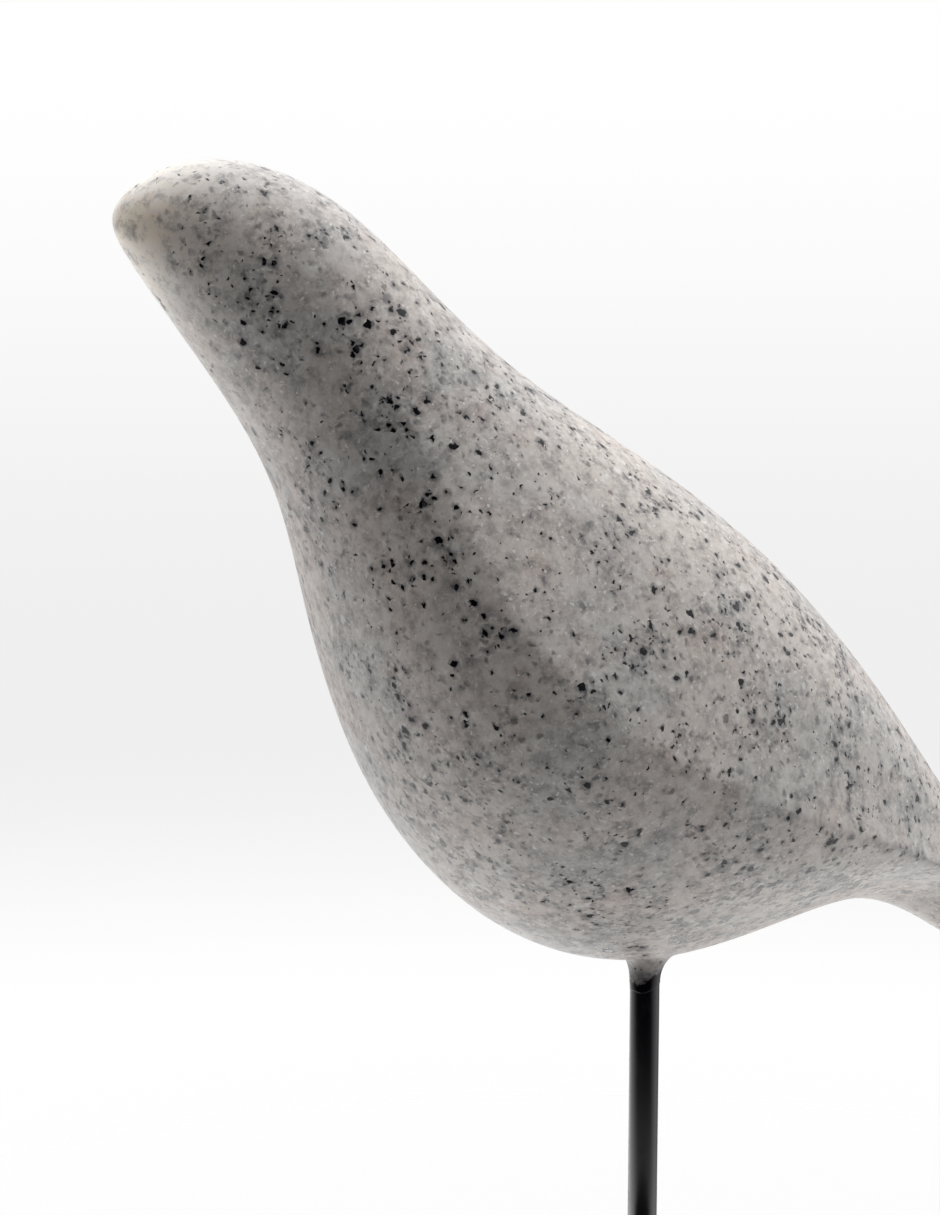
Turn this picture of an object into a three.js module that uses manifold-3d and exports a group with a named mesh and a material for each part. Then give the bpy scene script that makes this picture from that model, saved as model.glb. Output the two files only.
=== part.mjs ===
// Bird figurine: a smooth bird of speckled cast stone on a slim black rod, standing on a low round base.
// Millimetres, +Z up. The origin is the centre of the base's underside, under the rod.
// The beak points along -X.
import * as THREE from "three";
import { mergeVertices } from "three/addons/utils/BufferGeometryUtils.js";
import Module from "manifold-3d";

// Driving dimensions
const BIRD_LENGTH = 144; // level distance from the beak tip to the tail tip, before its ends are rounded
const BIRD_WIDTH = 58; // across the breast, without the lips of the wing seams
const BASE_DIAMETER = 90;
const BASE_THICKNESS = 8;
const BASE_EDGE_RADIUS = 1.5; // round the upper edge
const BASE_FOOT_EASE = 0.5; // bevel round the lower edge
const BASE_FLOOR = 2; // metal left under the rod's bore
const ROD_DIAMETER = 4;
const ROD_SHOWING = 97; // from the top of the base to the belly
const SOCKET_DEPTH = 24; // how far the drilled hole goes up into the bird, from the belly
const GLUE_GAP = 0.3; // round the rod and past its ends, in the bird and in the base
const COLLAR_HEIGHT = 3.6; // the bead of stone that runs down the rod below the belly
const COLLAR_FLARE = 1.2; // how much wider the bead is where it leaves the belly than at its lower rim
const COLLAR_WALL = 0.35; // thickness of the bead's lower rim round the glue gap
const COLLAR_ROOT = 1.6; // how far the flared bead reaches up inside the belly
const COLLAR_SWEEP = 3; // power of its flaring curve

// Fineness of the faceted solids
const RINGS = 58;
const QUARTER_FACETS = 11;
const ROD_FACETS = 24;
const BASE_FACETS = 64;
const EDGE_STEPS = 5;
const COLLAR_STEPS = 8;
const DRILL_START = 1; // where the drill starts below the bead
const HALVINGS = 40; // of the search for the belly line
const WELD_DISTANCE = 1e-4; // corners nearer than this are one corner

// The carver's pattern. Places are hundredths of the bird's length, from the rod at the belly:
// x towards the tail, z up. Half widths are hundredths of the bird's width.
// seam is how far up the section its widest line lies, and lip how far the wing seam stands proud there,
// in thousandths of the length. hollow is how far the underside is scooped.
const STATIONS = [
  { name: "beak tip", top: [-49.5, 68.2], bottom: [-49.5, 68.2], half: 0, seam: 0.5, lip: 0, hollow: 0 },
  { name: "beak", top: [-46.5, 71.2], bottom: [-47.6, 64.8], half: 9, seam: 0.5, lip: 0, hollow: 0 },
  { name: "brow", top: [-41.8, 73.2], bottom: [-44.6, 60.6], half: 16, seam: 0.5, lip: 0, hollow: 0 },
  { name: "crown", top: [-35.5, 72.6], bottom: [-41.6, 56.4], half: 21, seam: 0.5, lip: 0, hollow: 0 },
  { name: "nape", top: [-28.8, 69.2], bottom: [-38.8, 52.4], half: 24.5, seam: 0.5, lip: 0, hollow: 0 },
  { name: "neck", top: [-22.2, 62.5], bottom: [-36.1, 47.9], half: 28.5, seam: 0.48, lip: 2, hollow: 0 },
  { name: "shoulder", top: [-14.8, 55.6], bottom: [-33.7, 42.4], half: 34.5, seam: 0.42, lip: 6, hollow: 0 },
  { name: "upper back", top: [-6.1, 50.1], bottom: [-31.9, 35], half: 42, seam: 0.34, lip: 9, hollow: 0 },
  { name: "mid back", top: [2.8, 44.4], bottom: [-29.7, 26.1], half: 48, seam: 0.34, lip: 12, hollow: 0 },
  { name: "breast", top: [10.9, 38], bottom: [-25.5, 15], half: 50.5, seam: 0.415, lip: 15, hollow: 0 },
  { name: "belly", top: [17.6, 30.9], bottom: [-16.1, 4.3], half: 47, seam: 0.54, lip: 17, hollow: 0.1 },
  { name: "vent", top: [23.2, 24], bottom: [-2.9, -0.8], half: 38.5, seam: 0.61, lip: 19, hollow: 0.35 },
  { name: "rump", top: [28.4, 17.1], bottom: [10, 1.4], half: 28, seam: 0.63, lip: 18, hollow: 0.6 },
  { name: "tail root", top: [33.7, 10], bottom: [21.6, 5.6], half: 21, seam: 0.55, lip: 16, hollow: 0.7 },
  { name: "tail", top: [40, 3.6], bottom: [31.5, 0.1], half: 18, seam: 0.47, lip: 11, hollow: 0.6 },
  { name: "tail blade", top: [46.5, -1.9], bottom: [40.3, -6.5], half: 17, seam: 0.46, lip: 4, hollow: 0.4 },
  { name: "tail end", top: [50.9, -6.9], bottom: [47.6, -10.7], half: 13, seam: 0.5, lip: 0, hollow: 0.2 },
  { name: "tail tip", top: [51, -10.3], bottom: [51, -10.3], half: 0, seam: 0.5, lip: 0, hollow: 0 },
];
const LAST = STATIONS.length - 1;
const LIP_REACH_UP = 0.28; // of the way from the seam to the back: where the seam's rise begins
const LIP_REACH_DOWN = 0.9; // of the way from the seam to the belly: where it ends
const SEAM_ROUNDING = 0.02; // of the same way: how far the arris of the seam is rubbed down

const BELLY_Z = BASE_THICKNESS + ROD_SHOWING;
const ROD_RADIUS = ROD_DIAMETER / 2;
const BORE_RADIUS = ROD_RADIUS + GLUE_GAP; // of the holes in the bird and the base

const wasm = await Module();
wasm.setup();

// Values once round the outline: along the back from beak to tail, then home along the belly.
function roundTheOutline(onTop, onBottom) {
  return [...STATIONS.map(onTop), ...STATIONS.slice(1, LAST).reverse().map(onBottom)];
}

const PATTERN = {
  x: roundTheOutline((s) => s.top[0], (s) => s.bottom[0]),
  z: roundTheOutline((s) => s.top[1], (s) => s.bottom[1]),
  half: roundTheOutline((s) => s.half, (s) => -s.half),
  seam: roundTheOutline((s) => s.seam, (s) => s.seam),
  lip: roundTheOutline((s) => s.lip, (s) => s.lip),
  hollow: roundTheOutline((s) => s.hollow, (s) => s.hollow),
};

// A closed uniform cubic B-spline of the guide values, at station number k.
function eased(values, k) {
  const n = values.length;
  const start = Math.floor(k);
  const f = k - start;
  const at = (step) => values[(((start + step) % n) + n) % n];
  const weights = [
    (1 - f) ** 3 / 6,
    (3 * f ** 3 - 6 * f ** 2 + 4) / 6,
    (-3 * f ** 3 + 3 * f ** 2 + 3 * f + 1) / 6,
    f ** 3 / 6,
  ];
  return weights.reduce((sum, w, step) => sum + w * at(step - 1), 0);
}

// The mid-plane outline at station k, in mm: the back's point, or the belly's with side = -1.
function outlineAt(k, side = 1) {
  const place = side > 0 ? k : 2 * LAST - k;
  const unit = BIRD_LENGTH / 100;
  return new THREE.Vector2(eased(PATTERN.x, place) * unit, eased(PATTERN.z, place) * unit);
}

// Height of the belly line over the rod, found by halving between the breast and the tail root.
function bellyLineOverRod() {
  let before = STATIONS.findIndex((s) => s.name === "breast");
  let after = STATIONS.findIndex((s) => s.name === "tail root");
  for (let i = 0; i < HALVINGS; i += 1) {
    const middle = (before + after) / 2;
    if (outlineAt(middle, -1).x < 0) before = middle;
    else after = middle;
  }
  return outlineAt(before, -1).y;
}

// How far the wing seam pushes the flank out at a distance from it, rounded off at the arris.
// The distance and the reach are shares of the way from the seam to the back or the belly.
function seamRise(height, distance, reach) {
  const away = Math.hypot(distance, SEAM_ROUNDING) - SEAM_ROUNDING;
  return height * Math.max(0, 1 - away / reach) ** 2;
}

// One cross-section of the bird at station k, as a ring of points round the body, starting on the back.
function sectionAt(k) {
  const top = outlineAt(k);
  const bottom = outlineAt(k, -1);
  const half = (Math.max(0, eased(PATTERN.half, k)) * BIRD_WIDTH) / 100;
  const seam = eased(PATTERN.seam, k);
  const lip = (eased(PATTERN.lip, k) * BIRD_LENGTH) / 1000;
  const hollow = eased(PATTERN.hollow, k);
  const upward = top.clone().sub(bottom);
  const depth = upward.length();
  upward.normalize();
  const nearSide = [];
  for (let i = 0; i <= 2 * QUARTER_FACETS; i += 1) {
    const above = i < QUARTER_FACETS;
    const angle = (Math.abs(QUARTER_FACETS - i) / QUARTER_FACETS) * (Math.PI / 2);
    const span = above ? (1 - seam) * depth : seam * depth;
    const scooped = (1 + Math.cos(Math.PI * Math.cos(angle))) / 2;
    const round = Math.sin(angle);
    const height = above ? span * round : -span * ((1 - hollow) * round + hollow * scooped);
    const rise = seamRise(lip, angle / (Math.PI / 2), above ? LIP_REACH_UP : LIP_REACH_DOWN);
    const out = half * Math.cos(angle) + rise;
    const place = bottom.clone().addScaledVector(upward, seam * depth + height);
    const onKeel = i === 0 || i === 2 * QUARTER_FACETS;
    nearSide.push(new THREE.Vector3(place.x, onKeel ? 0 : -out, place.y));
  }
  const farSide = nearSide.slice(1, -1).reverse().map((p) => new THREE.Vector3(p.x, -p.y, p.z));
  return [...nearSide, ...farSide];
}

// The closed bird: a fan at each tip and bands of facets between the rings, which stand closer near the tips.
function birdGeometry() {
  const rings = [];
  for (let i = 1; i < RINGS; i += 1) {
    const share = i / RINGS;
    rings.push(sectionAt(LAST * (share - Math.sin(2 * Math.PI * share) / (4 * Math.PI))));
  }
  const beakTip = outlineAt(0);
  const tailTip = outlineAt(LAST);
  const tips = [beakTip, tailTip].map((p) => new THREE.Vector3(p.x, 0, p.y));
  const points = [tips[0], ...rings.flat(), tips[1]];
  const around = rings[0].length;
  const at = (ring, step) => 1 + ring * around + (step % around);
  const faces = [];
  for (let j = 0; j < around; j += 1) {
    faces.push(0, at(0, j + 1), at(0, j));
    for (let i = 0; i < rings.length - 1; i += 1) {
      faces.push(at(i, j), at(i + 1, j + 1), at(i + 1, j));
      faces.push(at(i, j), at(i, j + 1), at(i + 1, j + 1));
    }
    faces.push(points.length - 1, at(rings.length - 1, j), at(rings.length - 1, j + 1));
  }
  const geometry = new THREE.BufferGeometry().setFromPoints(points);
  geometry.setIndex(faces);
  geometry.translate(0, 0, BELLY_Z - bellyLineOverRod());
  return geometry;
}

// A body turned about +Z from a profile of [radius, height] pairs that runs up from the axis and back to it.
function turned(profile, facets) {
  const points = profile.map(([radius, height]) => new THREE.Vector2(radius, height));
  return new THREE.LatheGeometry(points, facets).rotateX(Math.PI / 2);
}

// The bead of stone round the rod's top: it flares as it climbs, and its head is buried in the belly.
function collarGeometry() {
  const rim = BORE_RADIUS + COLLAR_WALL;
  const head = COLLAR_HEIGHT + COLLAR_ROOT;
  const profile = [[0, BELLY_Z - COLLAR_HEIGHT]];
  for (let i = 0; i <= COLLAR_STEPS; i += 1) {
    const height = (head * i) / COLLAR_STEPS;
    const flare = COLLAR_FLARE * (height / COLLAR_HEIGHT) ** COLLAR_SWEEP;
    profile.push([rim + flare, BELLY_Z - COLLAR_HEIGHT + height]);
  }
  profile.push([0, BELLY_Z + COLLAR_ROOT]);
  return turned(profile, ROD_FACETS);
}

// The drilled hole for the rod, open at the collar's lower rim.
function socketGeometry() {
  const mouth = BELLY_Z - COLLAR_HEIGHT - DRILL_START;
  const end = BELLY_Z + SOCKET_DEPTH;
  return turned([[0, mouth], [BORE_RADIUS, mouth], [BORE_RADIUS, end], [0, end]], ROD_FACETS);
}

function rodGeometry() {
  const foot = BASE_FLOOR + GLUE_GAP;
  const head = BELLY_Z + SOCKET_DEPTH - GLUE_GAP;
  return turned([[0, foot], [ROD_RADIUS, foot], [ROD_RADIUS, head], [0, head]], ROD_FACETS);
}

// A flat disc with a rounded upper edge, a bevelled lower edge and a blind bore for the rod.
function baseGeometry() {
  const radius = BASE_DIAMETER / 2;
  const profile = [[0, 0], [radius - BASE_FOOT_EASE, 0], [radius, BASE_FOOT_EASE]];
  for (let i = 0; i <= EDGE_STEPS; i += 1) {
    const angle = (i / EDGE_STEPS) * (Math.PI / 2);
    const inset = BASE_EDGE_RADIUS * (1 - Math.cos(angle));
    profile.push([radius - inset, BASE_THICKNESS - BASE_EDGE_RADIUS * (1 - Math.sin(angle))]);
  }
  profile.push([BORE_RADIUS, BASE_THICKNESS], [BORE_RADIUS, BASE_FLOOR], [0, BASE_FLOOR]);
  return turned(profile, BASE_FACETS);
}

// A closed geometry as a solid that can be joined and cut.
function solid(geometry) {
  const bare = new THREE.BufferGeometry().setAttribute("position", geometry.getAttribute("position"));
  bare.setIndex(geometry.getIndex());
  const merged = mergeVertices(bare, WELD_DISTANCE);
  const vertProperties = new Float32Array(merged.getAttribute("position").array);
  const triVerts = new Uint32Array(merged.getIndex().array);
  return new wasm.Manifold(new wasm.Mesh({ numProp: 3, vertProperties, triVerts }));
}

// A solid back as a geometry for a mesh.
function geometryOf(body) {
  const mesh = body.getMesh();
  const geometry = new THREE.BufferGeometry();
  geometry.setAttribute("position", new THREE.BufferAttribute(mesh.vertProperties, 3));
  geometry.setIndex(new THREE.BufferAttribute(mesh.triVerts, 1));
  geometry.computeVertexNormals();
  return geometry;
}

function part(name, geometry, material) {
  const mesh = new THREE.Mesh(geometry, material);
  mesh.name = name;
  return mesh;
}

const speckledStone = new THREE.MeshStandardMaterial({ color: 0xb9b5b0, roughness: 0.55, metalness: 0 });
const blackRod = new THREE.MeshStandardMaterial({ color: 0x1b1c20, roughness: 0.42, metalness: 0.3 });
const blackBase = new THREE.MeshStandardMaterial({ color: 0x1d1e21, roughness: 0.6, metalness: 0.2 });

const bird = solid(birdGeometry()).add(solid(collarGeometry())).subtract(solid(socketGeometry()));

const figurine = new THREE.Group();
figurine.add(part("bird", geometryOf(bird), speckledStone));
figurine.add(part("rod", rodGeometry(), blackRod));
figurine.add(part("base", baseGeometry(), blackBase));

export default figurine;
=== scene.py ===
"""The looks of a bird figurine: a smooth bird of speckled cast stone on a black rod in a low base.

Lengths are in metres, and in millimetres inside a finish. The bird's beak points along -X, its left
side along +Y, and the rod stands on the Z axis.
"""

import logging
import math
from collections.abc import Callable
from dataclasses import dataclass, field
from enum import Enum
from typing import NamedTuple

import bpy
import numpy as np
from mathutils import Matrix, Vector
from mathutils.bvhtree import BVHTree


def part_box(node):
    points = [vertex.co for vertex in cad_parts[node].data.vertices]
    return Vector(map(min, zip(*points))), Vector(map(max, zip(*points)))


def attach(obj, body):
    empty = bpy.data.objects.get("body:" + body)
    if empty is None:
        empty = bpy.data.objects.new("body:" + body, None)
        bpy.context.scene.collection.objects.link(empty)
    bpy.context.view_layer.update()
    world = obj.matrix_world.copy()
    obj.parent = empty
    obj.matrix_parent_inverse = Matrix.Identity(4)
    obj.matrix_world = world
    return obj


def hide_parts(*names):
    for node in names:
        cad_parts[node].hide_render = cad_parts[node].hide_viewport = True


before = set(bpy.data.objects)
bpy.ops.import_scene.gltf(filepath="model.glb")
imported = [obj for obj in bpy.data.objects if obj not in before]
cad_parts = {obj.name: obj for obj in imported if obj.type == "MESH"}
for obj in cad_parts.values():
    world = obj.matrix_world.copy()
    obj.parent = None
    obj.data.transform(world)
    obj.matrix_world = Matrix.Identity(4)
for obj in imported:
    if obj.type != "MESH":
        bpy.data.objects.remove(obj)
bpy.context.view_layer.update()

LOG = logging.getLogger("figurine")
MM = 0.001
BODY = "root"

Colour = tuple[float, float, float]
Place = tuple[float, float, float]
Pair = tuple[float, float]


class Pattern(NamedTuple):
    """A noise pattern."""

    size: float  # of its largest clouds, in millimetres
    detail: float = 2.0  # its finer layers
    roughness: float = 0.5  # how strong those are


class Slot(Enum):
    """The material slots."""

    STONE = "speckled_stone"
    ROD = "black_rod"
    BASE = "black_base"


class Shade:
    """A node's output that Python's operators work on. An expression adds its Math nodes."""

    def __init__(self, recipe: "Recipe", socket: bpy.types.NodeSocket) -> None:
        """Wraps one output socket.

        Args:
            recipe: the node tree that the socket is in.
            socket: the output socket.
        """
        self.recipe = recipe
        self.socket = socket

    def math(self, operation: str, *values: "Shade | float") -> "Shade":
        """Adds a Math node.

        Args:
            operation: the Math node's operation.
            values: its inputs, in order.

        Returns:
            The node's output.
        """
        return self.recipe.node("ShaderNodeMath", {"operation": operation}, dict(enumerate(values)))

    def __add__(self, other: "Shade | float") -> "Shade":
        """self + other"""
        return self.math("ADD", self, other)

    def __radd__(self, other: float) -> "Shade":
        """other + self"""
        return self.math("ADD", other, self)

    def __sub__(self, other: "Shade | float") -> "Shade":
        """self - other"""
        return self.math("SUBTRACT", self, other)

    def __rsub__(self, other: float) -> "Shade":
        """other - self"""
        return self.math("SUBTRACT", other, self)

    def __mul__(self, other: "Shade | float") -> "Shade":
        """self * other"""
        return self.math("MULTIPLY", self, other)

    def __rmul__(self, other: float) -> "Shade":
        """other * self"""
        return self.math("MULTIPLY", other, self)

    def __truediv__(self, other: "Shade | float") -> "Shade":
        """self / other"""
        return self.math("DIVIDE", self, other)

    def __rtruediv__(self, other: float) -> "Shade":
        """other / self"""
        return self.math("DIVIDE", other, self)

    def __lt__(self, other: "Shade | float") -> "Shade":
        """1 where self is less than other, else 0"""
        return self.math("LESS_THAN", self, other)

    def __abs__(self) -> "Shade":
        """self without its sign"""
        return self.math("ABSOLUTE", self)

    def sibling(self, name: str) -> "Shade":
        """Another output of the same node."""
        return Shade(self.recipe, self.socket.node.outputs[name])

    def ramp(self, low: "Shade | float", high: "Shade | float") -> "Shade":
        """A smooth step: 0 below low, 1 above high."""
        inputs = {"Value": self, "From Min": low, "From Max": high, "To Min": 0.0, "To Max": 1.0}
        return self.recipe.node("ShaderNodeMapRange", {"interpolation_type": "SMOOTHSTEP"}, inputs)


class Recipe:
    """A node tree, with one method that adds any node."""

    def __init__(self, tree: bpy.types.NodeTree) -> None:
        """Empties the tree.

        Args:
            tree: the node tree of a material or of the world.
        """
        self.tree = tree
        tree.nodes.clear()

    def node(
        self,
        kind: str,
        settings: dict[str, object] | None = None,
        inputs: dict[str | int, object] | None = None,
        output: str | int = 0,
    ) -> Shade:
        """Adds a node.

        Args:
            kind: the node's type.
            settings: its properties, set first.
            inputs: values or links for its sockets, by name or place.
            output: the output that is wanted.

        Returns:
            That output.
        """
        made = self.tree.nodes.new(kind)
        for name, value in (settings or {}).items():
            setattr(made, name, value)
        for name, value in (inputs or {}).items():
            if isinstance(value, Shade):
                self.tree.links.new(value.socket, made.inputs[name])
            else:
                made.inputs[name].default_value = value
        return Shade(self, made.outputs[output] if made.outputs else None)

    def place(self) -> Shade:
        """The point on the object, in millimetres."""
        metres = self.node("ShaderNodeTexCoord", output="Object")
        return self.vector("SCALE", metres, scale=1 / MM)

    def vector(self, operation: str, a: object, b: object = (0, 0, 0), scale: float = 1.0) -> Shade:
        """Adds a Vector Math node.

        Args:
            operation: the node's operation.
            a: its first vector.
            b: its second vector.
            scale: its scale, for SCALE.

        Returns:
            The node's vector, or its value for DOT_PRODUCT and LENGTH.
        """
        inputs = {0: a, "Scale": scale} if operation == "SCALE" else {0: a, 1: b}
        output = "Value" if operation in ("DOT_PRODUCT", "LENGTH") else "Vector"
        return self.node("ShaderNodeVectorMath", {"operation": operation}, inputs, output)

    def mix(self, factor: "Shade | float", a: object, b: object) -> Shade:
        """Mixes two colours.

        Args:
            factor: 0 for a, 1 for b.
            a: a colour or a link.
            b: a colour or a link.

        Returns:
            The mixed colour.
        """
        settings = {"data_type": "RGBA", "clamp_factor": True}
        a, b = (v if isinstance(v, Shade) else (*v, 1.0) for v in (a, b))
        return self.node("ShaderNodeMix", settings, {0: factor, 6: a, 7: b}, 2)

    def noise(self, at: Shade, pattern: Pattern, output: str = "Fac") -> Shade:
        """Adds a noise texture.

        Args:
            at: the point, in millimetres.
            pattern: its size and its layers.
            output: Fac or Color.

        Returns:
            The noise.
        """
        size, detail, roughness = pattern
        inputs = {"Vector": at, "Scale": 1 / size, "Detail": detail, "Roughness": roughness}
        return self.node("ShaderNodeTexNoise", {}, inputs, output)

    def cells(self, at: Shade, size: float) -> Shade:
        """Adds a Voronoi texture.

        Args:
            at: the point, in millimetres.
            size: the size of a cell, in millimetres.

        Returns:
            The colour that each cell draws. Its sibling Distance is how far the cell's middle is, in
            cells.
        """
        inputs = {"Vector": at, "Scale": 1 / size}
        return self.node("ShaderNodeTexVoronoi", {}, inputs, "Color")

    def channel(self, colour: Shade, name: str) -> Shade:
        """One channel of a colour: Red, Green or Blue."""
        return self.node("ShaderNodeSeparateColor", {}, {"Color": colour}, name)

    def axis(self, vector: Shade, name: str) -> Shade:
        """One axis of a vector: X, Y or Z."""
        return self.node("ShaderNodeSeparateXYZ", {}, {"Vector": vector}, name)

    def bump(self, height: Shade, relief: Pair) -> Shade:
        """Adds a Bump node.

        Args:
            height: the height, as shares of the relief's depth.
            relief: that depth, in millimetres, and how much of it shows.

        Returns:
            The normal.
        """
        depth, strength = relief
        inputs = {"Strength": strength, "Distance": depth * MM, "Height": height}
        return self.node("ShaderNodeBump", {}, inputs)

    def shader(self, **inputs: object) -> Shade:
        """Adds a Principled BSDF.

        Args:
            inputs: its sockets, with underscores for spaces.

        Returns:
            The shader.
        """
        named = {name.replace("_", " "): value for name, value in inputs.items()}
        return self.node("ShaderNodeBsdfPrincipled", {}, named)

    def surface(self, shader: Shade) -> None:
        """Ends a material with its shader."""
        self.node("ShaderNodeOutputMaterial", {}, {"Surface": shader})


def new_material(name: str) -> tuple[bpy.types.Material, Recipe]:
    """Makes an empty material.

    Args:
        name: its name.

    Returns:
        The material and its recipe.
    """
    material = bpy.data.materials.new(name)
    material.use_nodes = True
    return material, Recipe(material.node_tree)


@dataclass(frozen=True)
class Cloud:
    """Soft patches, cut out of a noise pattern."""

    pattern: Pattern
    low: float  # the noise's level where a patch begins
    high: float  # and where it is full
    offset: Place = (0.0, 0.0, 0.0)  # moves the patches off those of like patterns

    def over(self, r: Recipe, at: Shade) -> Shade:
        """Lays the patches over a finish.

        Args:
            r: the material's recipe.
            at: the point, in millimetres.

        Returns:
            1 inside the patches and 0 between them.
        """
        moved = r.vector("ADD", at, self.offset) if any(self.offset) else at
        return r.noise(moved, self.pattern).ramp(self.low, self.high)


@dataclass(frozen=True)
class Grains:
    """One kind of grain in the stone: sizes in millimetres, the rest as shares."""

    colour: Colour
    offset: Place  # moves the pattern, so that no two kinds fall together
    spacing: float  # of the cells that hold one grain or none
    radius: float  # of the largest grains
    rare: float  # share of the cells that hold a grain where grains are rare
    crowded: float = 0.0  # how many more do where they crowd
    opacity: float = 1.0
    halo: float = 0.0  # opacity of the blur round a grain, which lies under the surface
    blur: float = 0.40  # how far the blur goes
    edge: float = 0.06  # half of the width over which the grain's edge fades
    least: float = 0.5  # radius of the smallest grains, as a share of the largest
    core: float = 0.5  # share of a grain's radius where its blur starts to fade


WHITE: Colour = (0.860, 0.840, 0.815)
BROWN: Colour = (0.110, 0.060, 0.045)
BLACK: Colour = (0.004, 0.004, 0.006)


@dataclass(frozen=True)
class SpeckledStone:
    """Satin cast stone: a pale ground with white grains, smoky clouds and black flecks."""

    name: str = "speckled stone"
    warm: Colour = (0.640, 0.585, 0.545)
    cool: Colour = (0.560, 0.535, 0.515)
    rosy: Colour = (0.610, 0.510, 0.465)
    smoke: Colour = (0.112, 0.113, 0.124)
    cooler: Cloud = Cloud(Pattern(14.0, 1.0), 0.38, 0.62)
    blush: Cloud = Cloud(Pattern(7.0), 0.52, 0.70, (31.0, 7.0, 12.0))
    blush_share: float = 0.50

    # the beak tip's paler colour: partly the stone's own, partly painted glow of the light that passes
    # through the thin tip
    pale_tip_painted_glow: Colour = (0.930, 0.890, 0.830)
    tip_share: float = 0.9
    tip: Pair = (-1.85, -7.53)  # the beak's tip, from the bird's front and its top, in millimetres
    tip_reach: Pair = (4.0, 22.0)  # from the tip: where its pale veil starts to fade and where it ends
    glow: float = 7.0  # how far light spreads inside the thin tip, in millimetres
    depths: Colour = (1.0, 0.85, 0.70)  # the same for red, green and blue, as shares

    mottle: Pattern = Pattern(2.2, 5.0, 0.75)
    dark_mottle: Pair = (0.51, 3.0)  # the level below which it darkens, and how fast
    pale_mottle: Pair = (0.50, 2.6)  # the level above which it pales, and how fast
    flakes: Cloud = Cloud(Pattern(0.55), 0.56, 0.74)
    flake_share: float = 0.50
    pushes: Pattern = Pattern(0.9, 1.5)  # bend the flakes and the grains
    flake_bend: float = 0.9  # how far they go, in millimetres
    grain_bend: float = 0.62

    crowds: Cloud = Cloud(Pattern(9.0, 4.0, 0.6), 0.42, 0.62, (60.0, 12.0, 31.0))  # where grains crowd
    smoky: Cloud = Cloud(Pattern(3.6, 4.0, 0.65), 0.52, 0.72, (17.0, 3.0, 50.0))
    dust: Cloud = Cloud(Pattern(0.50, 3.0, 0.70), 0.42, 0.62)
    smoke_ground: Pair = (0.15, 0.55)  # share of smoke in a cloud, and how much more its dust adds
    smoke_alone: float = 0.30  # share of the clouds left where grains are rare
    # painted sheen: fewer grains near the middle plane leave the back, crown and belly paler, as a
    # satin sheen does where they are seen edge-on
    sheen_flank: Pair = (2.0, 13.0)  # from the middle plane: where grains get more and where all are there
    sheen_keel_share: float = 0.40  # share of them on the middle plane

    fine: Pattern = Pattern(0.35, 3.0, 0.6)  # the skin's own grain
    rough: Pair = (0.46, 0.12)  # least roughness, and how much the fine grain adds
    fleck_shine: float = 0.28  # how much smoother a fleck is
    fleck_dip: float = 0.5  # how deep it lies, as a share of the relief
    relief: Pair = (0.05, 0.25)  # the bump's depth in millimetres, and how much of it shows
    gloss: float = 1.38  # index of refraction
    grains: tuple[Grains, ...] = (
        Grains(WHITE, (3, 50, 8), spacing=2.2, radius=0.60, rare=0.22, opacity=0.60, edge=0.16),
        Grains(WHITE, (9, 20, 33), spacing=0.60, radius=0.21, rare=0.16, opacity=0.80),
        Grains(
            BROWN, (14, 60, 41), spacing=1.9, radius=0.42, rare=0.06, opacity=0.55, halo=0.15, edge=0.10
        ),
        Grains(
            BLACK, (44, 12, 7), spacing=0.95, radius=0.34, rare=0.12, crowded=0.26,
            opacity=0.45, halo=0.25, edge=0.20,
        ),
        Grains(
            BLACK, (0, 0, 0), spacing=1.50, radius=0.54, rare=0.03, crowded=0.28, halo=0.75, blur=0.75
        ),
        Grains(
            BLACK, (0, 70, 2), spacing=0.95, radius=0.34, rare=0.05, crowded=0.20, halo=0.65, blur=0.50
        ),
        Grains(
            BLACK, (31, 5, 60), spacing=0.55, radius=0.21, rare=0.03, crowded=0.11,
            opacity=0.95, halo=0.30, blur=0.25,
        ),
    )

    def veil(self, r: Recipe, at: Shade) -> Shade:
        """The beak's pale, clear tip; its paler colour is partly its own, partly painted glow.

        Args:
            r: the material's recipe.
            at: the point, in millimetres.

        Returns:
            1 at the tip and 0 away from it.
        """
        low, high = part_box("bird")
        tip = (low.x / MM + self.tip[0], 0.0, high.z / MM + self.tip[1])
        return 1 - r.vector("LENGTH", r.vector("SUBTRACT", at, tip)).ramp(*self.tip_reach)

    def bent(self, r: Recipe, at: Shade, reach: float) -> Shade:
        """The point, pushed about so that grains lose their round shape.

        Args:
            r: the material's recipe.
            at: the point, in millimetres.
            reach: how far the pushes go, in millimetres.

        Returns:
            The pushed point.
        """
        push = r.vector("SUBTRACT", r.noise(at, self.pushes, "Color"), (0.5, 0.5, 0.5))
        return r.vector("ADD", at, r.vector("SCALE", push, scale=2 * reach))

    def ground(self, r: Recipe, at: Shade, veil: Shade) -> Shade:
        """The pale ground.

        Args:
            r: the material's recipe.
            at: the point, in millimetres.
            veil: 1 at the beak's pale tip, partly painted glow, and 0 elsewhere.

        Returns:
            Its colour.
        """
        colour = r.mix(self.cooler.over(r, at), self.warm, self.cool)
        colour = r.mix(self.blush.over(r, at) * self.blush_share, colour, self.rosy)
        # paler towards the beak's tip: partly its own colour, partly painted glow of light through the
        # thin tip
        colour = r.mix(veil * self.tip_share, colour, self.pale_tip_painted_glow)
        mottle = r.noise(at, self.mottle)
        level, gain = self.dark_mottle
        colour = r.mix((level - mottle) * gain, colour, self.smoke)
        level, gain = self.pale_mottle
        colour = r.mix((mottle - level) * gain, colour, WHITE)
        flakes = self.flakes.over(r, self.bent(r, at, self.flake_bend))
        return r.mix(flakes * self.flake_share, colour, WHITE)

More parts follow.
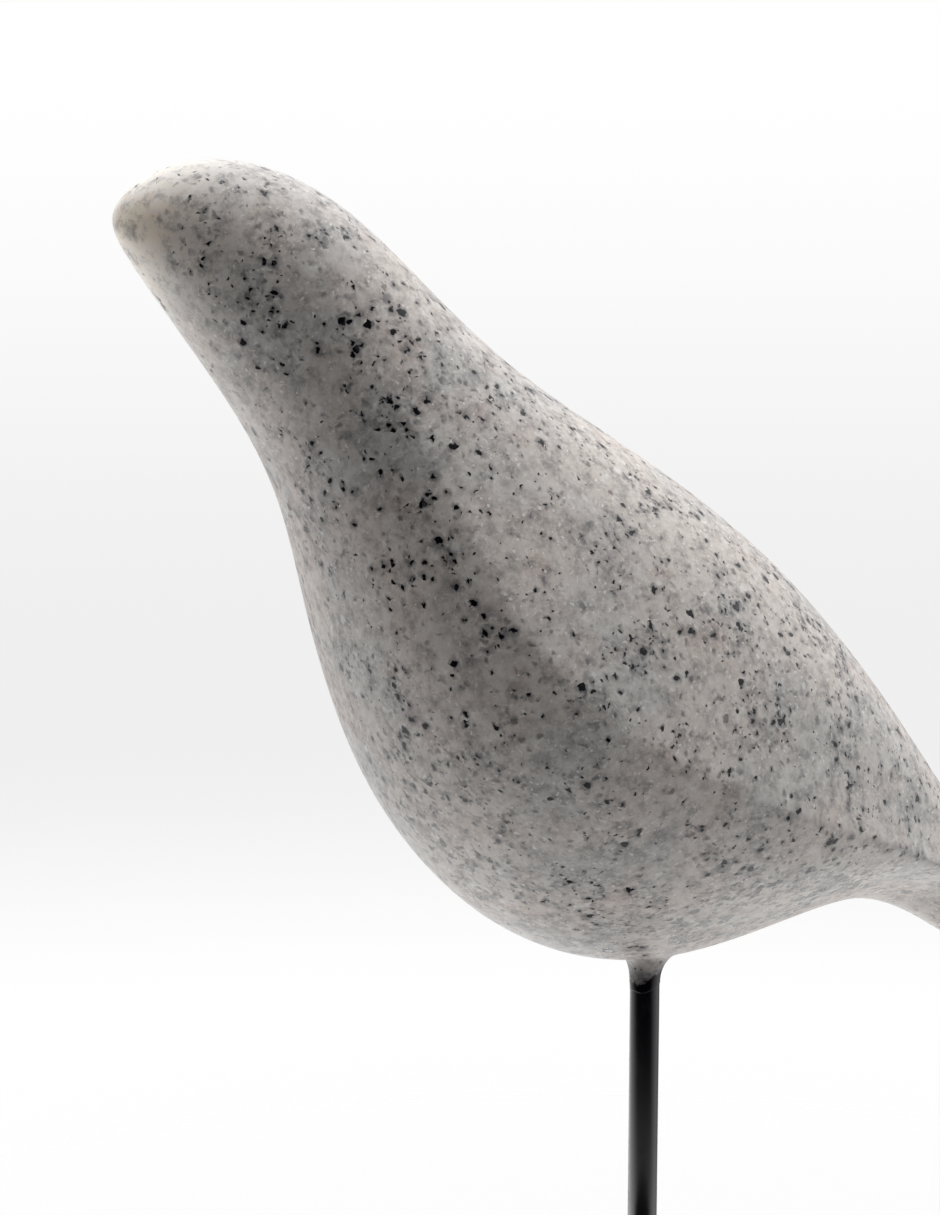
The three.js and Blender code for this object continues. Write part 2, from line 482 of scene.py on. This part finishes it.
    def sown(
        self, r: Recipe, at: Shade, share: Shade, crowd: Shade, kind: Grains
    ) -> tuple[Shade, Shade]:
        """Sows one kind of grain.

        Args:
            r: the material's recipe.
            at: the point, in millimetres, already pushed about.
            share: how many of the grains this part of the bird gets, 0 to 1.
            crowd: 0 where grains are rare to 1 where they crowd.
            kind: the kind of grain.

        Returns:
            1 inside its grains and 0 elsewhere, and the same for the blur round them.
        """
        draw = r.cells(r.vector("ADD", at, kind.offset), kind.spacing)
        away = draw.sibling("Distance") * kind.spacing
        marked = r.channel(draw, "Red") < (crowd * kind.crowded + kind.rare) * share
        radius = (r.channel(draw, "Green") * (1 - kind.least) + kind.least) * kind.radius
        grain = 1 - away.ramp(radius - kind.edge, radius + kind.edge)
        halo = 1 - away.ramp(radius * kind.core, radius + kind.blur)
        return marked * grain, marked * halo

    def finish(self, r: Recipe, at: Shade) -> tuple[Shade, Shade, Shade]:
        """Works out the stone at a point.

        Args:
            r: the material's recipe.
            at: the point, in millimetres.

        Returns:
            Its colour, roughness and normal.
        """
        veil = self.veil(r, at)
        colour = self.ground(r, at, veil)
        fine = r.noise(at, self.fine)
        # painted sheen: fewer grains near the middle plane, so the rims seen edge-on are paler
        across = abs(r.axis(at, "Y")).ramp(*self.sheen_flank)
        share = (self.sheen_keel_share + across * (1 - self.sheen_keel_share)) * (1 - veil * veil)
        crowd = self.crowds.over(r, at)
        least, more = self.smoke_ground
        smoke = self.smoky.over(r, at) * (least + self.dust.over(r, at) * more)
        smoke = smoke * (self.smoke_alone + crowd * (1 - self.smoke_alone))
        colour = r.mix(smoke, colour, self.smoke)
        bent = self.bent(r, at, self.grain_bend)
        black: Shade | float = 0.0
        for kind in self.grains:
            grain, halo = self.sown(r, bent, share, crowd, kind)
            if kind.halo:
                colour = r.mix(halo * kind.halo, colour, self.smoke)
            colour = r.mix(grain * kind.opacity, colour, kind.colour)
            if kind.colour is BLACK:
                black = grain * kind.opacity + black
        least, more = self.rough
        roughness = least + fine * more - black * self.fleck_shine
        return colour, roughness, r.bump(fine - black * self.fleck_dip, self.relief)

    def material(self) -> bpy.types.Material:
        """Builds the material.

        Returns:
            The material.
        """
        material, r = new_material(self.name)
        at = r.place()
        colour, roughness, normal = self.finish(r, at)
        looks = {"Base_Color": colour, "Roughness": roughness, "Normal": normal, "IOR": self.gloss}
        plain = r.shader(**looks)
        inside = {"Subsurface_Radius": self.depths, "Subsurface_Scale": self.glow * MM}
        clear = r.shader(**looks, **inside, Subsurface_Weight=1.0)
        r.surface(r.node("ShaderNodeMixShader", {}, {0: self.veil(r, at), 1: plain, 2: clear}))
        return material


@dataclass(frozen=True)
class BlackSatin:
    """Black satin paint on the rod, with faint streaks along it."""

    name: str = "black satin"
    paint: Colour = (0.005, 0.005, 0.008)
    dusty: Colour = (0.024, 0.024, 0.028)
    dust: Cloud = Cloud(Pattern(2.5, 4.0, 0.65), 0.5, 0.75)
    dust_share: float = 0.30
    streaks: Pattern = Pattern(0.5, 3.0, 0.6)
    drawn: Place = (1.0, 1.0, 0.06)  # stretches them along the rod
    rough: float = 0.15
    streak_rough: float = 0.10
    dust_rough: float = 0.08
    relief: Pair = (0.02, 0.2)
    gloss: float = 1.4

    def material(self) -> bpy.types.Material:
        """Builds the material.

        Returns:
            The material.
        """
        material, r = new_material(self.name)
        at = r.place()
        streaks = r.noise(r.vector("MULTIPLY", at, self.drawn), self.streaks)
        dust = self.dust.over(r, at)
        colour = r.mix(dust * self.dust_share, self.paint, self.dusty)
        roughness = self.rough + streaks * self.streak_rough + dust * self.dust_rough
        normal = r.bump(streaks, self.relief)
        r.surface(r.shader(Base_Color=colour, Roughness=roughness, Normal=normal, IOR=self.gloss))
        return material


@dataclass(frozen=True)
class PowderCoat:
    """Fine black powder coat on the base, with a little dust."""

    name: str = "powder coat"
    paint: Colour = (0.012, 0.012, 0.014)
    dusty: Colour = (0.040, 0.040, 0.042)
    dust: Cloud = Cloud(Pattern(9.0, 5.0, 0.6), 0.48, 0.75)
    dust_share: float = 0.3
    peel: Pattern = Pattern(0.5, 2.0, 0.55)  # the coat's orange peel
    rough: float = 0.48
    peel_rough: float = 0.14
    dust_rough: float = 0.06
    relief: Pair = (0.06, 0.35)
    gloss: float = 1.5

    def material(self) -> bpy.types.Material:
        """Builds the material.

        Returns:
            The material.
        """
        material, r = new_material(self.name)
        at = r.place()
        peel = r.noise(at, self.peel)
        dust = self.dust.over(r, at)
        colour = r.mix(dust * self.dust_share, self.paint, self.dusty)
        roughness = self.rough + peel * self.peel_rough + dust * self.dust_rough
        normal = r.bump(peel, self.relief)
        r.surface(r.shader(Base_Color=colour, Roughness=roughness, Normal=normal, IOR=self.gloss))
        return material


@dataclass(frozen=True)
class StoneFilm:
    """The stone where it thins out over the rod: it goes through grey to the rod's black."""

    stone: SpeckledStone
    top: float  # height of the belly over the rod's axis, in millimetres
    name: str = "stone film"
    film: Colour = (0.150, 0.147, 0.150)
    black: Colour = (0.005, 0.005, 0.008)
    reach: float = 2.8  # from the top to where the black sets in over the rod's axis
    slant: float = 0.19  # how much sooner the black begins per millimetre towards the tail, in reaches
    bays: Pattern = Pattern(1.6, 4.0, 0.65)  # in the film's edges
    bay_depth: float = 0.8  # in reaches
    specks: Cloud = Cloud(Pattern(0.55, 3.0, 0.7), 0.40, 0.62)
    grey_from: Pair = (-0.05, 0.75)  # where the grey begins and is full, in reaches below the top
    black_from: Pair = (0.78, 0.98)  # the same for the black
    grey_share: float = 0.45  # share of grey between the specks
    shine: float = 0.2  # roughness of the black

    def material(self) -> bpy.types.Material:
        """Builds the material.

        Returns:
            The material.
        """
        material, r = new_material(self.name)
        at = r.place()
        colour, roughness, normal = self.stone.finish(r, at)
        aft = r.axis(at, "X")
        bays = (r.noise(at, self.bays) - 0.5) * self.bay_depth
        below = (self.top - aft.sibling("Z")) / self.reach + bays
        grey = (below + aft * (self.slant / 2)).ramp(*self.grey_from)
        grey = grey * (self.grey_share + self.specks.over(r, at) * (1 - self.grey_share))
        colour = r.mix(grey, colour, self.film)
        painted = (below + aft * self.slant).ramp(*self.black_from)
        colour = r.mix(painted, colour, self.black)
        roughness = roughness * (1 - painted) + painted * self.shine
        gloss = self.stone.gloss
        r.surface(r.shader(Base_Color=colour, Roughness=roughness, Normal=normal, IOR=gloss))
        return material


def mesh_object(name: str, points: np.ndarray, faces: list[tuple[int, ...]]) -> bpy.types.Object:
    """Makes a smooth-shaded mesh object.

    Args:
        name: its name.
        points: its corners, one row each, in metres.
        faces: the corners of each face, in order.

    Returns:
        The object.
    """
    mesh = bpy.data.meshes.new(name)
    mesh.from_pydata([tuple(map(float, p)) for p in points], [], faces)
    mesh.validate()
    mesh.polygons.foreach_set("use_smooth", [True] * len(mesh.polygons))
    mesh.update()
    made = bpy.data.objects.new(name, mesh)
    bpy.context.scene.collection.objects.link(made)
    return made


def show(piece: bpy.types.Object, material: bpy.types.Material, slot: Slot, *nodes: str) -> None:
    """Dresses a piece and sets it on the frame.

    Args:
        piece: the piece.
        material: its material.
        slot: the piece's material slot; not used.
        nodes: the frame's nodes that it stands for.
    """
    piece.data.materials.append(material)
    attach(piece, BODY)
    if nodes:
        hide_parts(*nodes)
    LOG.info("%s: %d faces", piece.name, len(piece.data.polygons))


@dataclass(frozen=True)
class Station:
    """A guide station of the bird's pattern.

    Places are hundredths of the bird's length and half widths are hundredths of its width. seam is how
    far up the section the wing seam lies, lip how far it stands proud in thousandths of the length, and
    hollow how far the underside is scooped.
    """

    name: str
    back: Pair
    belly: Pair
    half: float
    seam: float
    lip: float = 0.0
    hollow: float = 0.0


STATIONS = [
    Station("beak tip", (-49.5, 68.2), (-49.5, 68.2), 0, 0.5),
    Station("beak", (-46.5, 71.2), (-47.6, 64.8), 9, 0.5),
    Station("brow", (-41.8, 73.2), (-44.6, 60.6), 16, 0.5),
    Station("crown", (-35.5, 72.6), (-41.6, 56.4), 21, 0.5),
    Station("nape", (-28.8, 69.2), (-38.8, 52.4), 24.5, 0.5),
    Station("neck", (-22.2, 62.5), (-36.1, 47.9), 28.5, 0.48, 2),
    Station("shoulder", (-14.8, 55.6), (-33.7, 42.4), 34.5, 0.42, 6),
    Station("upper back", (-6.1, 50.1), (-31.9, 35), 42, 0.34, 9),
    Station("mid back", (2.8, 44.4), (-29.7, 26.1), 48, 0.34, 12),
    Station("breast", (10.9, 38), (-25.5, 15), 50.5, 0.415, 15),
    Station("belly", (17.6, 30.9), (-16.1, 4.3), 47, 0.54, 17, 0.1),
    Station("vent", (23.2, 24), (-2.9, -0.8), 38.5, 0.61, 19, 0.35),
    Station("rump", (28.4, 17.1), (10, 1.4), 28, 0.63, 18, 0.6),
    Station("tail root", (33.7, 10), (21.6, 5.6), 21, 0.55, 16, 0.7),
    Station("tail", (40, 3.6), (31.5, 0.1), 18, 0.47, 11, 0.6),
    Station("tail blade", (46.5, -1.9), (40.3, -6.5), 17, 0.46, 4, 0.4),
    Station("tail end", (50.9, -6.9), (47.6, -10.7), 13, 0.5, hollow=0.2),
    Station("tail tip", (51, -10.3), (51, -10.3), 0, 0.5),
]


@dataclass
class Bird:
    """The cast stone bird and the bead of stone that runs from its belly down the rod."""

    length: float = 144 * MM
    width: float = 58 * MM
    rings: int = 300
    quarter: int = 60
    crowding: float = 1.5  # power that draws the steps of a section towards the wing seam
    seam_rounding: float = 0.02  # this and the reaches are shares of the way to the back or the belly
    lip_reach_up: float = 0.28
    lip_reach_down: float = 0.90
    bead_height: float = 3.6 * MM
    bead_steps: int = 28
    bead_sides: int = 96
    bead_reach: Pair = (3.3 * MM, 4.6 * MM)  # towards the beak and towards the tail
    bead_root: Pair = (0.5 * MM, 0.30 * MM)  # its hidden root goes on this far outwards and up
    core_share: float = 0.98  # radius of its hidden core, in radii of the rod
    core_top: float = 1.5 * MM  # how far the core goes up into the belly
    film: float = 0.07 * MM  # thickness where the bead turns into the film
    film_reach: Pair = (1.1 * MM, 0.2 * MM)  # how far the film runs on down the rod, on those sides
    film_near: Pair = (0.015 * MM, 0.90)  # thickness above its lower edge, at this share of its run
    film_edge: Pair = (0.008 * MM, 0.03 * MM)  # thickness at the edge, and the core's run below it
    ragged: float = 0.12 * MM  # how uneven the edge is
    waves: tuple[Place, ...] = ((3, 1.0, 1.0), (5, 0.0, 0.6))  # its waves: count, phase and share
    body: bpy.types.Object | None = field(default=None, init=False)

    def loop(
        self, on_back: Callable[[Station], float], on_belly: Callable[[Station], float]
    ) -> np.ndarray:
        """Guide values once round the outline: along the back to the tail, then home along the belly.

        Args:
            on_back: a station's value on the back.
            on_belly: its value on the belly.

        Returns:
            The values.
        """
        out = [on_back(s) for s in STATIONS]
        home = [on_belly(s) for s in STATIONS[-2:0:-1]]
        return np.array(out + home, float)

    def eased(self, values: np.ndarray, at: np.ndarray) -> np.ndarray:
        """A closed uniform cubic B-spline.

        Args:
            values: the guide values.
            at: the station numbers that are wanted.

        Returns:
            The spline's values there.
        """
        start = np.floor(at).astype(int)
        f = at - start
        weights = [(1 - f) ** 3, 3 * f**3 - 6 * f**2 + 4, -3 * f**3 + 3 * f**2 + 3 * f + 1, f**3]
        terms = [w * values[(start + step - 1) % len(values)] for step, w in enumerate(weights)]
        return sum(terms) / 6

    def grid(self) -> tuple[np.ndarray, np.ndarray]:
        """The bird's surface as rings of points, and its two tips, in the pattern's own place.

        Returns:
            The rings, indexed by ring, step and axis, and the two tips.
        """
        last = len(STATIONS) - 1
        share = np.arange(self.rings + 1) / self.rings
        # the rings lie closer together towards both tips
        out = last * (share - np.sin(2 * math.pi * share) / (4 * math.pi))
        home = 2 * last - out
        unit = self.length / 100
        x = self.loop(lambda s: s.back[0] * unit, lambda s: s.belly[0] * unit)
        z = self.loop(lambda s: s.back[1] * unit, lambda s: s.belly[1] * unit)
        back = np.stack([self.eased(x, out), self.eased(z, out)], -1)
        belly = np.stack([self.eased(x, home), self.eased(z, home)], -1)
        half = self.eased(self.loop(lambda s: s.half, lambda s: -s.half), out)
        half = np.maximum(half, 0) * self.width / 100
        seam = self.eased(self.loop(lambda s: s.seam, lambda s: s.seam), out)
        lip = self.eased(self.loop(lambda s: s.lip, lambda s: s.lip), out) * self.length / 1000
        hollow = self.eased(self.loop(lambda s: s.hollow, lambda s: s.hollow), out)
        rings = [self.section(*values) for values in zip(back, belly, half, seam, lip, hollow)][1:-1]
        tips = np.array([[p[0], 0, p[1]] for p in (back[0], back[-1])])
        return np.array(rings), tips

    def section(
        self, back: np.ndarray, belly: np.ndarray, half: float, seam: float, lip: float, hollow: float
    ) -> np.ndarray:
        """One cross-section, as a closed ring that starts on the back and comes down the near side.

        Args:
            back: the back's point, x and z.
            belly: the belly's point, x and z.
            half: the half width.
            seam: how far up the section the wing seam lies.
            lip: how far the seam stands proud.
            hollow: how far the underside is scooped, 0 to 1.

        Returns:
            The ring's points.
        """
        depth = max(float(np.linalg.norm(back - belly)), 1e-9)
        upward = (back - belly) / depth
        step = np.arange(-self.quarter, self.quarter + 1) / self.quarter
        above = step < 0
        angle = np.abs(step) ** self.crowding * math.pi / 2
        span = np.where(above, 1 - seam, seam) * depth
        scooped = (1 + np.cos(math.pi * np.cos(angle))) / 2
        rise = np.where(above, np.sin(angle), -((1 - hollow) * np.sin(angle) + hollow * scooped)) * span
        away = np.hypot(angle / (math.pi / 2), self.seam_rounding) - self.seam_rounding
        reach = np.where(above, self.lip_reach_up, self.lip_reach_down)
        out = half * np.cos(angle) + lip * np.maximum(0, 1 - away / reach) ** 2
        place = belly + upward * (seam * depth + rise)[:, None]
        out[[0, -1]] = 0
        near = np.stack([place[:, 0], -out, place[:, 1]], -1)
        far = near[-2:0:-1] * [1, -1, 1]
        return np.concatenate([near, far])

    def build(self) -> bpy.types.Object:
        """Makes the bird's fine mesh and sets it in the frame's own bird.

        Returns:
            The mesh object.
        """
        rings, tips = self.grid()
        count, around = rings.shape[:2]
        points = np.concatenate([tips[:1], rings.reshape(-1, 3), tips[1:]])
        low, high = (np.array(corner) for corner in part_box("bird"))
        own_low, own_high = points.min(0), points.max(0)
        points = low + (points - own_low) * (high - low) / (own_high - own_low)
        end = (count - 1) * around
        faces: list[tuple[int, ...]] = []
        for j in range(around):
            here, after = 1 + j, 1 + (j + 1) % around
            faces.append((0, after, here))
            faces.extend(
                (here + i, after + i, after + i + around, here + i + around)
                for i in range(0, end, around)
            )
            faces.append((len(points) - 1, here + end, after + end))
        self.body = mesh_object("stone_bird", points, faces)
        return self.body

    def skin(self) -> BVHTree:
        """The bird's fine mesh, ready to be measured."""
        mesh = self.body.data
        corners = [vertex.co for vertex in mesh.vertices]
        return BVHTree.FromPolygons(corners, [face.vertices for face in mesh.polygons])

    def belly_height(self, skin: BVHTree, x: float = 0.0, y: float = 0.0) -> float:
        """Height of the belly over a point of the floor."""
        return skin.ray_cast(Vector((x, y, 0.0)), Vector((0.0, 0.0, 1.0)))[0].z

    def bead_row(self, turn: float, rod: float) -> list[Pair]:
        """One side of the bead, as a closed loop from its core over its skin.

        Args:
            turn: the side's angle round the rod. The tail is at 0.
            rod: the rod's radius.

        Returns:
            The radius and the height above the belly of each point.
        """
        aft = (1 + math.cos(turn)) / 2
        reach, film = (near + (far - near) * aft for near, far in (self.bead_reach, self.film_reach))
        waves = [share * math.sin(count * turn + phase) for count, phase, share in self.waves]
        film += self.ragged * sum(waves)
        thin = rod + self.film
        core = rod * self.core_share
        row = [(core, self.core_top), (reach + self.bead_root[0], self.bead_root[1])]
        for i in range(self.bead_steps + 1):
            bend = i / self.bead_steps * math.pi / 2
            drop = self.bead_height * (1 - math.cos(bend))
            row.append((reach + (thin - reach) * math.sin(bend), -drop))
        near, share = self.film_near
        edge, below = self.film_edge
        row.append((rod + near, -self.bead_height - film * share))
        row.append((rod + edge, -self.bead_height - film))
        row.append((core, -self.bead_height - film - below))
        return row

    def build_bead(self, skin: BVHTree) -> bpy.types.Object:
        """Makes the bead: it leaves the belly in a smooth curve and thins out to a film down the rod.

        Args:
            skin: the bird's skin.

        Returns:
            The mesh object.
        """
        low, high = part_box("rod")
        rod = (high.x - low.x) / 2
        middle = self.belly_height(skin)
        points = []
        for side in range(self.bead_sides):
            turn = 2 * math.pi * side / self.bead_sides
            row = self.bead_row(turn, rod)
            for radius, drop in row:
                x, y = radius * math.cos(turn), radius * math.sin(turn)
                lean = min(1.0, max(0.0, 1 + drop / self.bead_height))
                level = self.belly_height(skin, x, y) * lean + middle * (1 - lean)
                points.append((x, y, level + drop))
        size = len(row)
        faces = []
        for i in range(self.bead_sides):
            here, after = i * size, (i + 1) % self.bead_sides * size
            for j in range(size):
                k = (j + 1) % size
                faces.append((here + j, here + k, after + k, after + j))
        return mesh_object("stone_bead", np.array(points), faces)

    def dress(self, stone: SpeckledStone) -> None:
        """Gives the bird and its bead their stone.

        Args:
            stone: the finish.
        """
        show(self.build(), stone.material(), Slot.STONE, "bird")
        skin = self.skin()
        film = StoneFilm(stone, self.belly_height(skin) / MM)
        show(self.build_bead(skin), film.material(), Slot.STONE)


@dataclass
class Stand:
    """The rod and the base."""

    sides: int = 128
    rod_edge: float = 0.25 * MM
    base_edge: float = 1.5 * MM
    foot_ease: float = 0.5 * MM
    bore_ease: float = 0.3 * MM
    glue_gap: float = 0.3 * MM
    base_floor: float = 2.0 * MM
    edge_steps: int = 10

    def turned(self, name: str, profile: list[Pair]) -> bpy.types.Object:
        """Turns a profile about the Z axis.

        Args:
            name: the object's name.
            profile: radius and height of each point, up the outside, from the axis back to the axis.

        Returns:
            The mesh object.
        """
        inner = profile[1:-1]
        points = [(0.0, 0.0, profile[0][1])]
        for side in range(self.sides):
            turn = 2 * math.pi * side / self.sides
            x, y = math.cos(turn), math.sin(turn)
            points += [(radius * x, radius * y, height) for radius, height in inner]
        points.append((0.0, 0.0, profile[-1][1]))
        faces: list[tuple[int, ...]] = []
        for side in range(self.sides):
            here, after = 1 + side * len(inner), 1 + (side + 1) % self.sides * len(inner)
            faces.append((0, after, here))
            last = len(inner) - 1
            faces.extend((here + j, after + j, after + j + 1, here + j + 1) for j in range(last))
            faces.append((len(points) - 1, here + last, after + last))
        return mesh_object(name, np.array(points), faces)

    def rounded(self, radius: float, height: float, edge: float) -> list[Pair]:
        """A quarter round at the top of a wall.

        Args:
            radius: the wall's radius.
            height: the height of the top.
            edge: the round's radius.

        Returns:
            The round's points, from the wall to the top.
        """
        angles = [i / self.edge_steps * math.pi / 2 for i in range(self.edge_steps + 1)]
        return [(radius - edge * (1 - math.cos(a)), height - edge * (1 - math.sin(a))) for a in angles]

    def build_rod(self) -> bpy.types.Object:
        """Makes the rod.

        Returns:
            The mesh object.
        """
        low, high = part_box("rod")
        radius = (high.x - low.x) / 2
        top = self.rounded(radius, high.z, self.rod_edge)
        return self.turned("black_rod_fine", [(0.0, low.z), (radius, low.z), *top, (0.0, high.z)])

    def build_base(self) -> bpy.types.Object:
        """Makes the base, with its bore for the rod.

        Returns:
            The mesh object.
        """
        low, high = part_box("base")
        rod_low, rod_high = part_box("rod")
        radius = (high.x - low.x) / 2
        bore = (rod_high.x - rod_low.x) / 2 + self.glue_gap
        profile = [(0.0, low.z), (radius - self.foot_ease, low.z), (radius, low.z + self.foot_ease)]
        profile += self.rounded(radius, high.z, self.base_edge)
        profile += [(bore + self.bore_ease, high.z), (bore, high.z - self.bore_ease)]
        profile += [(bore, low.z + self.base_floor), (0.0, low.z + self.base_floor)]
        return self.turned("round_base_fine", profile)

    def dress(self, rod: BlackSatin, base: PowderCoat) -> None:
        """Builds and finishes both.

        Args:
            rod: the rod's finish.
            base: the base's finish.
        """
        show(self.build_rod(), rod.material(), Slot.ROD, "rod")
        show(self.build_base(), base.material(), Slot.BASE, "base")


@dataclass(frozen=True)
class SoftLight:
    """A broad soft patch of light on the sky around the object.

    side, front and up point from the object to the patch's middle: to the picture's right, towards the
    camera and up.
    """

    side: float
    front: float
    up: float
    strength: float


@dataclass
class Studio:
    """The pale floor, the soft light all round and the camera."""

    azimuth: float = math.radians(-20)  # of the camera, from the bird's near side towards its beak
    elevation: float = math.radians(8)
    distance: float = 300 * MM
    focal: float = 65.8  # in millimetres, as the sensor, which lies along the picture's long side
    sensor: float = 36.0
    clip: Pair = (0.01, 50.0)
    aim: Place = (-20.0 * MM, 14.2 * MM, 151.6 * MM)
    floor_radius: float = 0.30
    floor_solid: float = 0.12  # radius where the floor starts to fade into the backdrop
    floor_tint: tuple[float, ...] = (0.66, 0.66, 0.66, 1.0)
    floor_rough: float = 0.9
    floor_sides: int = 96
    floor_sink: float = 0.05 * MM
    soft_from: float = 0.50  # cosine of the angle from a patch's middle where its light ends
    soft_full: float = 0.97  # and where it is at its full strength
    lights: tuple[SoftLight, ...] = (
        SoftLight(side=0.0, front=-0.14, up=0.99, strength=1.46),
        SoftLight(side=0.0, front=-0.14, up=-0.99, strength=1.64),
        SoftLight(side=0.99, front=-0.14, up=0.0, strength=1.10),
        SoftLight(side=0.40, front=-0.57, up=0.71, strength=0.80),
        SoftLight(side=-0.40, front=-0.57, up=0.71, strength=1.40),
        SoftLight(side=-0.40, front=-0.57, up=-0.71, strength=1.40),
    )
    tint: tuple[float, ...] = (1.0, 1.0, 1.0, 1.0)  # of the light and the backdrop
    backdrop: float = 1.00  # the backdrop's brightness
    # painted shade: the backdrop's darker band stands in for the shade where a studio sweep curves up
    # from the floor
    band_dip: float = 0.135  # how much darker its band is
    band_foot: Pair = (-0.31, -0.195)  # sines of the elevations between which it sets in, from below
    band_head: Pair = (-0.156, 0.105)  # and between which it ends

    def back(self) -> Vector:
        """From the aim towards the camera."""
        level = math.cos(self.elevation)
        side, front = math.sin(self.azimuth) * level, -math.cos(self.azimuth) * level
        return Vector((side, front, math.sin(self.elevation)))

    def set_camera(self) -> None:
        """Makes the camera."""
        camera = bpy.data.objects.new("camera", bpy.data.cameras.new("camera"))
        camera.data.sensor_width = self.sensor
        camera.data.lens = self.focal
        camera.data.clip_start, camera.data.clip_end = self.clip
        camera.location = Vector(self.aim) + self.back() * self.distance
        camera.rotation_mode = "QUATERNION"
        camera.rotation_quaternion = (-self.back()).to_track_quat("-Z", "Y")
        bpy.context.scene.collection.objects.link(camera)
        bpy.context.scene.camera = camera

    def set_floor(self) -> None:
        """Makes the round pale floor, which fades into the backdrop. Light from below passes it."""
        turns = [2 * math.pi * i / self.floor_sides for i in range(self.floor_sides)]
        radius = self.floor_radius
        rim = [(radius * math.cos(t), radius * math.sin(t), -self.floor_sink) for t in turns]
        floor = mesh_object("floor", np.array(rim), [tuple(range(self.floor_sides))])
        material, r = new_material("pale floor")
        across = r.vector("LENGTH", r.place())
        solid = 1 - across.ramp(self.floor_solid / MM, radius / MM)
        r.surface(r.shader(Base_Color=self.floor_tint, Roughness=self.floor_rough, Alpha=solid))
        floor.data.materials.append(material)
        floor.visible_diffuse = floor.visible_glossy = False
        floor.visible_transmission = floor.visible_shadow = False

    def set_light(self) -> None:
        """Makes the soft light all round, and the backdrop that the camera sees."""
        world = bpy.data.worlds.new("soft light")
        world.use_nodes = True
        bpy.context.scene.world = world
        r = Recipe(world.node_tree)
        front = self.back()
        front.z = 0
        front.normalize()
        side = Vector((-front.y, front.x, 0))
        direction = r.node("ShaderNodeTexCoord", output="Generated")
        strength: Shade | float = 0.0
        for light in self.lights:
            middle = side * light.side + front * light.front + Vector((0, 0, light.up))
            facing = r.vector("DOT_PRODUCT", direction, tuple(middle.normalized()))
            strength = facing.ramp(self.soft_from, self.soft_full) * light.strength + strength
        height = r.axis(direction, "Z")
        # painted shade of the sweep's curve, in the backdrop that the camera sees
        band = height.ramp(*self.band_foot) * (1 - height.ramp(*self.band_head))
        brightness = self.backdrop - band * self.band_dip
        lit = r.node("ShaderNodeBackground", {}, {"Color": self.tint, "Strength": strength})
        seen = r.node("ShaderNodeBackground", {}, {"Color": self.tint, "Strength": brightness})
        camera_ray = r.node("ShaderNodeLightPath", output="Is Camera Ray")
        mixed = r.node("ShaderNodeMixShader", {}, {0: camera_ray, 1: lit, 2: seen})
        r.node("ShaderNodeOutputWorld", {}, {"Surface": mixed})

    def set_up(self) -> None:
        """Makes the studio."""
        self.set_camera()
        self.set_floor()
        self.set_light()
        bpy.context.scene.view_settings.view_transform = "Standard"


def main() -> None:
    """Builds the studio and the figurine."""
    logging.basicConfig(level=logging.INFO, format="%(name)s: %(message)s")
    Studio().set_up()
    Bird().dress(SpeckledStone())
    Stand().dress(BlackSatin(), PowderCoat())


if __name__ == "__main__":
    main()
